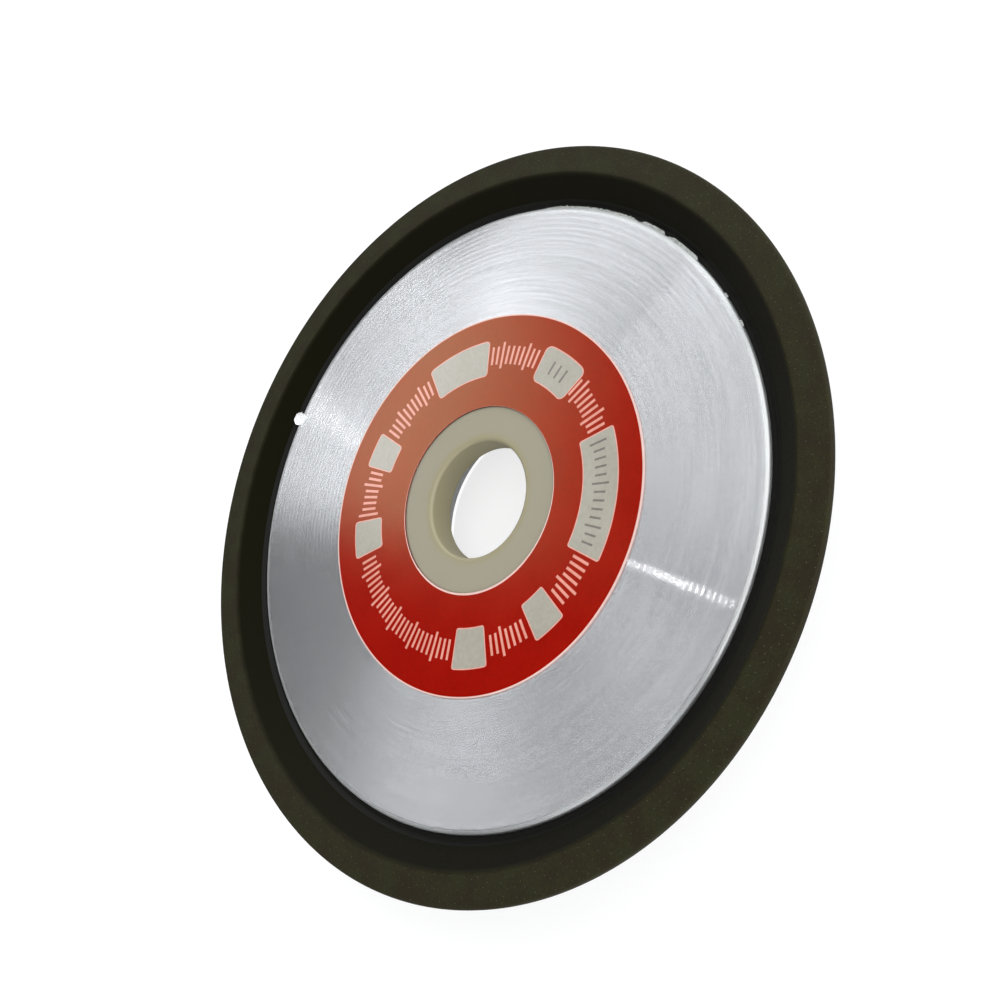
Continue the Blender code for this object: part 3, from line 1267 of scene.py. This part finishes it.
@dataclass
class LabelRing:
    """The printed film ring round the bore."""

    sizes: WheelSizes
    lathe: Lathe
    steps: int = 288
    inner: float = 15.92
    outer: float = 32.5
    thickness: float = 0.18
    overlap: float = 0.01  # of the film and its pale inner rim
    rim_proud: float = 0.004  # how far the cut edges stand above the print
    inner_edge: float = 0.34  # bare film inside the print, where it is widest
    inner_side: float = 208.0  # and its direction
    slimmest: float = 0.04  # its width on the other side, as a share of the widest
    hidden: float = 0.03  # how far inside the print it ends there
    outer_edge: float = 0.25
    outline: float = 0.2
    outline_height: float = 0.006
    ink_height: float = 0.012
    ink_depth: float = 0.012  # how far a stroke reaches into the film
    window_inner: float = 21.5
    window_outer: float = 28.1
    corner_ease: float = 0.15  # what the outline's corners are rounder than the window's
    windows: tuple[Window, ...] = (
        Window(265.0, 310.0, 0.3),
        Window(333.0, 354.0, 1.1),
        Window(21.0, 50.0, 0.6),
        Window(80.0, 93.6),
        Window(115.1, 129.6),
        Window(197.6, 212.6, 0.3),
        Window(233.0, 245.5, 0.3),
    )
    # The runs of strokes between the windows
    runs: tuple[Point, ...] = (
        (312.0, 332.0),
        (355.5, 380.0),
        (51.5, 78.5),
        (95.5, 113.0),
        (131.5, 196.0),
        (214.5, 231.0),
        (247.5, 263.5),
    )

    @property
    def bottom(self) -> float:
        """Height of the label's glued side."""
        return self.sizes.face_height + self.sizes.fit

    @property
    def top(self) -> float:
        """Height of the label's printed side."""
        return self.bottom + self.thickness

    def build(self, plate: Tree, stroke: Tree) -> list[Piece]:
        """Lay the film down and print it.

        Args:
            plate: The tree that makes a window.
            stroke: The tree that repeats a stroke round the axis.

        Returns:
            The label's pieces.
        """
        inks = {ink: ink.value.material() for ink in Ink}
        print_edge = self.outer - self.outer_edge
        film = self._ring("label_film", self.inner + self.overlap, print_edge, 0.0, inks[Ink.FIELD])
        pieces = [seat(film, "printed_film", "label")]
        edges = ((self.inner, self.inner + self.inner_edge), (print_edge, self.outer))
        rims = [self._ring("rim", *edge, self.rim_proud, inks[Ink.EDGE]) for edge in edges]
        self._thin(rims[0])
        pieces.append(seat(joined("label_rims", rims), "printed_film"))
        outline = ("window_outlines", 0.0, self.outline_height, inks[Ink.OUTLINE])
        for name, *sizes in (outline, ("label_windows", self.outline, self.ink_height, inks[Ink.WINDOW])):
            plates = [self._plate(plate, window, *sizes) for window in self.windows]
            pieces.append(seat(joined(name, plates), "printed_film"))
        for ink, name in ((Ink.STROKE, "scale_strokes"), (Ink.MARK, "window_marks")):
            runs = [self._run(stroke, run, inks[ink]) for run in self.strokes() if run.ink is ink]
            pieces.append(seat(joined(name, runs), "printed_film"))
        return pieces

    def _ring(self, name: str, inner: float, outer: float, proud: float, finish: Material) -> Piece:
        """Turn a flat ring of film.

        Args:
            name: The ring's name.
            inner: Its inner radius.
            outer: Its outer radius.
            proud: How far it stands above the print.
            finish: Its material.

        Returns:
            The ring.
        """
        top = self.top + proud
        places = ((inner, top), (outer, top), (outer, self.bottom), (inner, self.bottom))
        section = Section(tuple(Corner(*place) for place in places))
        return self.lathe.turn(name, section.points(), finish, self.steps)

    def _thin(self, ring: Piece) -> None:
        """Thin the inner rim to a crescent, as the print lies slightly off the film's centre.

        Args:
            ring: The rim. On its slim side it ends up hidden in the film.
        """
        bearing = math.radians(self.inner_side)
        widest = Vector((math.cos(bearing), math.sin(bearing)))
        meet = (self.inner + self.hidden) * MM
        for vertex in ring.data.vertices:
            flat = vertex.co.xy
            nearness = (1 + flat.normalized().dot(widest)) / 2
            share = self.slimmest + (1 - self.slimmest) * nearness**2
            vertex.co.xy = flat.normalized() * (meet + (flat.length - meet) * share)

    def _plate(self, tree: Tree, window: Window, inset: float, height: float, finish: Material) -> Piece:
        """Print one window or its outline.

        Args:
            tree: The tree that makes a window.
            window: The window.
            inset: How far inside the window's own edge to stay.
            height: The thickness of the ink.
            finish: The ink.

        Returns:
            The plate.
        """
        slim = inset / ((self.window_inner + self.window_outer) / 2)
        values = {
            "Start": math.radians(window.start) + slim,
            "End": math.radians(window.end) - slim,
            "Inner": (self.window_inner + inset) * MM,
            "Outer": (self.window_outer - inset) * MM,
            "Corner": (window.corner + self.corner_ease - inset) * MM,
            "Height": height * MM,
            "Level": self.top * MM,
        }
        return grown("plate", tree, finish, values)

    def strokes(self) -> list[Strokes]:
        """List the runs of plain strokes between and inside the windows."""
        found = [Strokes(Ink.STROKE, *ends, 2.5, 0.46, 23.4, 26.7, 0.75) for ends in self.runs]
        found.append(Strokes(Ink.MARK, 269.0, 306.5, 3.1, 0.34, 23.8, 25.9, 0.5))
        found.append(Strokes(Ink.MARK, 339.5, 347.5, 3.6, 0.4, 23.6, 26.0, 0.0))
        return found

    def _run(self, tree: Tree, run: Strokes, finish: Material) -> Piece:
        """Print one run of strokes.

        Args:
            tree: The tree that repeats a stroke round the axis.
            run: The run.
            finish: Its ink.

        Returns:
            The run as a piece of its own.
        """
        count = int((run.end - run.start) / run.pitch) + 1
        spare = (run.end - run.start) - (count - 1) * run.pitch
        values = {
            "Count": count,
            "Start": math.radians(run.start + spare / 2),
            "Pitch": math.radians(run.pitch),
            "Radius": (run.inner + run.outer) / 2 * MM,
            "Length": (run.outer - run.inner) * MM,
            "Longer": 2 * run.longer * MM,
            "Width": run.width * MM,
            "Height": 2 * (self.ink_height + self.ink_depth) * MM,
            "Level": self.top * MM,
        }
        return grown("run", tree, finish, values)


def plate_tree() -> Tree:
    """Build the tree that bends a thin plate with rounded corners round the axis.

    Returns:
        The tree.
    """
    step = 0.16 * MM  # from point to point of its outline
    tree, given = new_tree("window_plate", ("Start", "End", "Inner", "Outer", "Corner", "Height", "Level"))
    middle = sums(tree, given["Inner"], ("ADD", given["Outer"]), ("MULTIPLY", 0.5))
    width = sums(tree, given["End"], ("SUBTRACT", given["Start"]), ("MULTIPLY", middle))
    depth = sums(tree, given["Outer"], ("SUBTRACT", given["Inner"]))
    outline = add(tree, "GeometryNodeCurvePrimitiveQuadrilateral", {"Width": width, "Height": depth})
    feeds = {"Curve": outline, "Count": 5, "Radius": given["Corner"], "Limit Radius": True}
    eased = add(tree, "GeometryNodeFilletCurve", feeds, mode="POLY")
    even = add(tree, "GeometryNodeResampleCurve", {"Curve": eased, "Length": step}, mode="LENGTH")
    sheet = add(tree, "GeometryNodeFillCurve", {"Curve": even}, mode="NGONS")
    at = add(tree, SPLIT_XYZ, (add(tree, POSITION),)).outputs
    centre = sums(tree, given["Start"], ("ADD", given["End"]), ("MULTIPLY", 0.5))
    angle = sums(tree, centre, ("SUBTRACT", sums(tree, at["X"], ("DIVIDE", middle))))
    radius = sums(tree, at["Y"], ("ADD", middle))
    bent = add(tree, MOVE, {"Geometry": sheet, "Position": about_axis(tree, radius, angle, given["Level"])})
    feeds = {"Mesh": bent, "Offset": (0.0, 0.0, 1.0), "Offset Scale": given["Height"], "Individual": False}
    both = add(tree, "GeometryNodeJoinGeometry", (add(tree, "GeometryNodeExtrudeMesh", feeds),))
    feed(tree, both, (add(tree, "GeometryNodeFlipFaces", (bent,)),))
    closed = add(tree, "GeometryNodeMergeByDistance", {"Geometry": both, "Distance": WELD})
    return finish_tree(tree, closed, given["Finish"])


def stroke_tree() -> Tree:
    """Build the tree that repeats a plain stroke round the axis, each fifth one longer.

    Returns:
        The tree.
    """
    names = ("Start", "Pitch", "Radius", "Length", "Longer", "Width", "Height", "Level")
    tree, given = new_tree("stroke_run", names, ("Count",))
    points = add(tree, "GeometryNodePoints", {"Count": given["Count"]})
    index = add(tree, "GeometryNodeInputIndex")
    angle = sums(tree, index, ("MULTIPLY", given["Pitch"]), ("ADD", given["Start"]))
    spot = about_axis(tree, given["Radius"], angle, given["Level"])
    placed = add(tree, MOVE, {"Geometry": points, "Position": spot})
    bar = add(tree, "GeometryNodeMeshCube", ((1.0, 1.0, 1.0), 5, 2, 2))
    group, longer, margin = 5.0, 2.0, 0.1  # the third stroke of each five is the longer one
    fifth = sums(tree, index, ("MODULO", group), ("COMPARE", longer, margin))
    length = sums(tree, fifth, ("MULTIPLY", given["Longer"]), ("ADD", given["Length"]))
    size = add(tree, JOIN_XYZ, (length, given["Width"], given["Height"]))
    turn = add(tree, JOIN_XYZ, (0.0, 0.0, angle))
    feeds = {"Points": placed, "Instance": bar, "Rotation": turn, "Scale": size}
    return finish_tree(tree, add(tree, "GeometryNodeInstanceOnPoints", feeds), given["Finish"])


# The studio


@dataclass(frozen=True)
class Lamp:
    """A round area lamp that faces the wheel."""

    name: str
    place: Place  # in metres
    size: float
    power: float


@dataclass(frozen=True)
class Patch:
    """A soft-edged bright patch of the studio's surroundings, in degrees.

    A bearing of 0 is +Y and 90 is +X.
    """

    bearing: float
    height: float
    half_width: float
    half_height: float
    side_blur: float
    end_blur: float
    turn: float
    level: float


@dataclass
class Studio:
    """The camera, floor, lamps and surroundings."""

    lens: float = 39.768
    sensor: float = 36.0
    shift_y: float = -0.07712
    clip: Point = (0.005, 50.0)
    camera_place: Place = (0.00001, -0.125633, 0.146805)
    camera_axes: tuple[Place, ...] = (
        (0.359511, 0.930447, -0.070855),
        (-0.694342, 0.216008, -0.686462),
        (-0.623411, 0.295989, 0.723706),
    )
    floor_radius: float = 4.0
    floor_drop: float = 0.0002
    floor_steps: int = 64
    hub_inner: float = 0.0165
    hub_outer: float = 0.0375
    base_level: float = 0.051
    red_share: float = 0.985  # of the surroundings, beside green
    blue_share: float = 1.02
    patches: tuple[Patch, ...] = (
        Patch(5.54, 41.70, 9.88, 4.66, 2.61, 7.92, -7.2, 3.063),
        Patch(56.98, 19.22, 31.01, 26.29, 6.12, 12.61, 9.6, 1.937),
        Patch(-28.40, 29.58, 32.39, 4.50, 2.81, 2.45, -5.2, 1.540),
        Patch(87.58, 71.71, 42.09, 15.62, 1.05, 19.84, 46.2, 1.271),
        Patch(-80.85, 37.59, 23.99, 17.78, 17.36, 4.87, 40.0, 0.550),
        Patch(-77.36, 68.53, 30.22, 20.02, 6.98, 1.00, -8.8, 0.395),
        Patch(180.0, 0.0, 95.0, 72.5, 12.0, 12.5, 0.0, 1.0),
        Patch(-82.0, 4.0, 46.0, 17.0, 12.0, 8.0, 0.0, 0.9),
    )
    lamps: tuple[Lamp, ...] = (
        Lamp("key_softbox", (0.669, -1.158, 1.204), 2.9, 24.0),
        Lamp("streak_lamp", (-0.007, 0.615, 1.05), 0.0105, 0.0115),
    )

    def place_camera(self) -> None:
        """Stand the camera where the picture was taken from, rolled as it was."""
        data = bpy.data.cameras.new("view")
        data.lens = self.lens
        data.sensor_width = self.sensor
        data.shift_y = self.shift_y
        data.clip_start, data.clip_end = self.clip
        camera = stood("view", data)
        camera.matrix_world = Matrix.Translation(self.camera_place) @ Matrix(self.camera_axes).to_4x4()
        bpy.context.scene.camera = camera

    def hang_lamps(self) -> None:
        """Hang each lamp and turn it to the middle of the wheel."""
        for lamp in self.lamps:
            light = bpy.data.lights.new(lamp.name, "AREA")
            light.shape = "DISK"
            light.size = lamp.size
            light.energy = lamp.power
            stand = stood(lamp.name, light)
            stand.location = lamp.place
            stand.rotation_euler = Vector(lamp.place).to_track_quat("Z", "Y").to_euler()

    def lay_floor(self) -> None:
        """Lay a white floor, open under the hub's bearing ring and clear from below."""
        turns = range(self.floor_steps)
        round_ = [2 * math.pi * k / self.floor_steps for k in turns]
        points = [(0.0, 0.0, -self.floor_drop)]
        for r in (self.hub_inner, self.hub_outer, self.floor_radius):
            points += [(r * math.cos(a), r * math.sin(a), -self.floor_drop) for a in round_]
        hub, near, far = (1 + k * self.floor_steps for k in range(3))
        pairs = [(k, (k + 1) % self.floor_steps) for k in turns]
        faces: list[tuple[int, ...]] = [(0, hub + a, hub + b) for a, b in pairs]
        faces += [(near + a, far + a, far + b, near + b) for a, b in pairs]
        mesh = bpy.data.meshes.new("floor")
        mesh.from_pydata(points, [], faces)
        mesh.materials.append(self._floor_finish())
        stood("floor", mesh)

    def _floor_finish(self) -> Material:
        """Mix the floor's white.

        Returns:
            A matt white that the camera sees near 1 and shaded under the wheel.
        """
        material = bpy.data.materials.new("matt_white_floor")
        material.use_nodes = True
        tree = material.node_tree
        tree.nodes.remove(tree.nodes["Principled BSDF"])
        matt = add(tree, "ShaderNodeBsdfDiffuse", {"Color": srgb("DADADA")})
        half = add(tree, "ShaderNodeBsdfDiffuse", {"Color": srgb("9C9C9C")})
        glow = add(tree, "ShaderNodeEmission", {"Color": srgb("FFFFFF"), "Strength": 0.72})
        seen = add(tree, "ShaderNodeAddShader", (half, glow))
        by_camera = add(tree, "ShaderNodeLightPath").outputs["Is Camera Ray"]
        top = add(tree, "ShaderNodeMixShader", (by_camera, matt, seen))
        below = out(add(tree, "ShaderNodeNewGeometry"), "Backfacing")
        sides = add(tree, "ShaderNodeMixShader", (below, top, add(tree, "ShaderNodeBsdfTransparent")))
        feed(tree, tree.nodes["Material Output"], {"Surface": sides})
        return material

    def paint_surroundings(self) -> None:
        """Give the world its soft patches of light, and white for the camera."""
        world = bpy.data.worlds.new("studio")
        bpy.context.scene.world = world
        world.use_nodes = True
        tree = world.node_tree
        way = add(tree, SPLIT_XYZ, (add(tree, "ShaderNodeTexCoord").outputs["Generated"],)).outputs
        bearing = sums(tree, way["X"], ("ARCTAN2", way["Y"]), ("DEGREES",))
        height = sums(tree, way["Z"], ("ARCSINE",), ("DEGREES",))
        level: object = self.base_level
        for patch in self.patches:
            level = sums(tree, self._glow(tree, bearing, height, patch), ("ADD", level))
        red, blue = (sums(tree, level, ("MULTIPLY", share)) for share in (self.red_share, self.blue_share))
        colour = add(tree, "ShaderNodeCombineColor", (red, level, blue))
        lit = add(tree, "ShaderNodeBackground", {"Color": colour, "Strength": 1.0})
        plain = feed(tree, tree.nodes["Background"], {"Color": srgb("FFFFFF")})
        by_camera = add(tree, "ShaderNodeLightPath").outputs["Is Camera Ray"]
        both = add(tree, "ShaderNodeMixShader", (by_camera, lit, plain))
        feed(tree, tree.nodes["World Output"], {"Surface": both})

    def _glow(self, tree: Tree, bearing: Node, height: Node, patch: Patch) -> Node:
        """Find how bright one patch is in a direction.

        Args:
            tree: The world's tree.
            bearing: The direction's bearing.
            height: The direction's height.
            patch: The patch.

        Returns:
            The patch's level inside it, easing to 0 outside.
        """
        cosine, sine = math.cos(math.radians(patch.turn)), math.sin(math.radians(patch.turn))
        side = sums(tree, bearing, ("SUBTRACT", patch.bearing), ("WRAP", 180.0, -180.0))
        rise = sums(tree, height, ("SUBTRACT", patch.height))
        level: object = patch.level
        extents = (
            (cosine, sine, patch.half_width, patch.side_blur),
            (-sine, cosine, patch.half_height, patch.end_blur),
        )
        for along, up, half, blur in extents:
            risen = sums(tree, rise, ("MULTIPLY", up))
            way = sums(tree, side, ("MULTIPLY", along), ("ADD", risen), ("ABSOLUTE",))
            share = add(tree, RAMP, (way, half - blur, half + blur, 1.0, 0.0), **EASED)
            level = sums(tree, share, ("MULTIPLY", level))
        return level

    def build(self) -> None:
        """Set the whole studio up."""
        self.place_camera()
        self.hang_lamps()
        self.lay_floor()
        self.paint_surroundings()
        bpy.context.scene.view_settings.view_transform = "Standard"


def main() -> None:
    """Build the wheel and its studio."""
    logging.basicConfig(level=logging.INFO, format="%(message)s")
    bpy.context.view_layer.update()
    sizes = WheelSizes.from_frame()
    lathe = Lathe(turning_tree())
    plates = plate_tree()
    Studio().build()
    DishCore(sizes, lathe).build(TurnedAluminium().material())
    metals = (TornAluminium().material(), BurnishedAluminium().material())
    EdgeBurr(sizes).build(burr_tree(), plates, *metals)
    BackingRing(sizes, lathe).build(BlackPhenolic().material())
    layer = DiamondLayer(sizes, lathe)
    layer.build(DiamondResin().material())
    layer.build_grit(grit_tree(), DiamondGrit().material())
    ReducingBush(sizes, lathe).build(CreamNylon().material())
    LabelRing(sizes, lathe).build(plates, stroke_tree())


if __name__ == "__main__":
    main()
